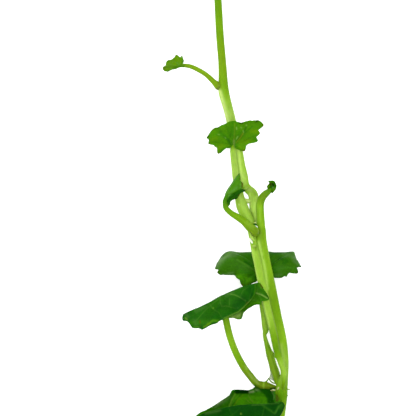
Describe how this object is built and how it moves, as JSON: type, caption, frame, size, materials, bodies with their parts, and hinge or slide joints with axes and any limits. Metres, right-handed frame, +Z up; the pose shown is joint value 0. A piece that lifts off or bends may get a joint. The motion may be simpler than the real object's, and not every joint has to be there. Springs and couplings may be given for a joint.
{
  "type": "japanese cress shoot",
  "caption": "Cut shoot of japanese cress lying on its back, with a bowed green stem, long leaf stalks and scalloped umbrella leaves, the young ones folded or curled.",
  "frame": {"origin": "on the surface that the shoot lies on, below the middle of its bounding box", "axes": "+Y up the stem towards the growing tip, +Z up, away from the surface, +X to the right seen from above"},
  "size_m": [0.0278, 0.1027, 0.0151],
  "materials": {
    "stem": "satin",
    "leaf_stalk": "satin",
    "leaf": "satin",
    "young_leaf": "satin"
  },
  "bodies": {
    "root": {"stem_lower": "stem", "stem_upper": "stem", "shoot_tip": "young_leaf", "tiny_leaf_stalk": "leaf_stalk", "tiny_leaf_blade": "young_leaf", "fan_leaf_stalk": "leaf_stalk", "fan_leaf_blade": "young_leaf", "folded_leaf_stalk": "leaf_stalk", "folded_leaf_blade": "young_leaf", "curled_leaf_stalk": "leaf_stalk", "curled_leaf_blade": "young_leaf", "back_leaf_stalk": "leaf_stalk", "back_leaf_blade": "leaf", "front_leaf_stalk": "leaf_stalk", "front_leaf_blade": "leaf", "bottom_leaf_stalk": "leaf_stalk", "bottom_leaf_blade": "leaf"}
  },
  "joints": []
}
